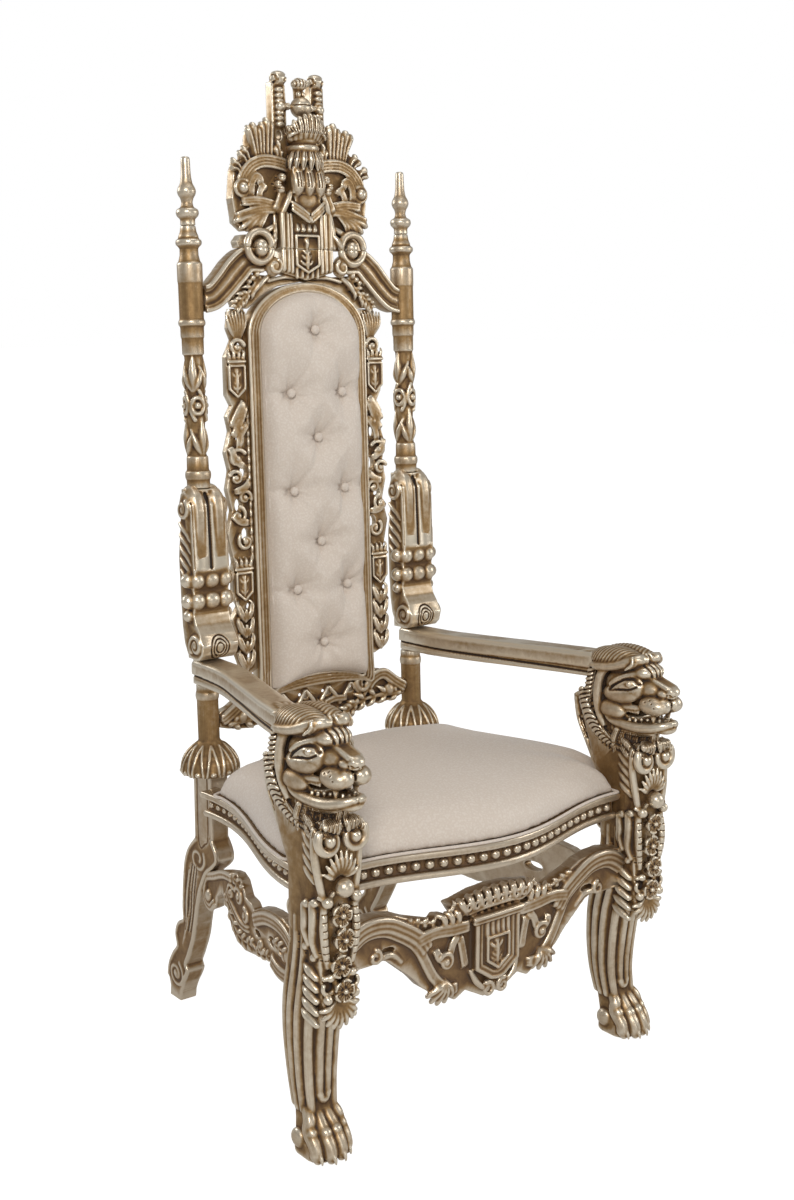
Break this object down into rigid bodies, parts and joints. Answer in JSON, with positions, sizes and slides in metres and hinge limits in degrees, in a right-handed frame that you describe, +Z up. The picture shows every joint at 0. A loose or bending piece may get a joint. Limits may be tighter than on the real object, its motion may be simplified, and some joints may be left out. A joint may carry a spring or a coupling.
{
  "type": "throne",
  "caption": "Tall carved and gilded armchair with lion-head arm supports on paw legs, an arched upholstered back and a pierced crest between posts.",
  "frame": {"origin": "on the floor, under the middle of the whole throne's bounding box", "axes": "+Z is up, -Y is the way the throne faces, +X is to the right of someone who faces it"},
  "size_m": [0.83, 0.806, 1.8299],
  "materials": {
    "gilt": "carved wood in worn champagne-gold leaf, paler on the edges and brown in the recesses",
    "fabric": "cream satin brocade with a fine woven figure and a thin piping"
  },
  "bodies": {
    "root": {"finial_right": "gilt", "finial_left": "gilt", "upper_post_right": "gilt", "upper_post_left": "gilt", "console_right": "gilt", "console_left": "gilt", "lower_post_right": "gilt", "lower_post_left": "gilt", "side_panel_right": "gilt", "side_panel_left": "gilt", "front_leg_right": "gilt", "front_leg_left": "gilt", "rear_leg_right": "gilt", "rear_leg_left": "gilt", "arm_right": "gilt", "arm_left": "gilt", "seat_rail_right": "gilt", "seat_rail_left": "gilt", "side_stretcher_right": "gilt", "side_stretcher_left": "gilt", "back_frame": "gilt", "top_rail": "gilt", "crest": "gilt", "lower_ornament": "gilt", "seat_rail_front": "gilt", "seat_rail_rear": "gilt", "front_stretcher": "gilt", "back_pad": "fabric", "seat_cushion": "fabric"}
  },
  "joints": []
}
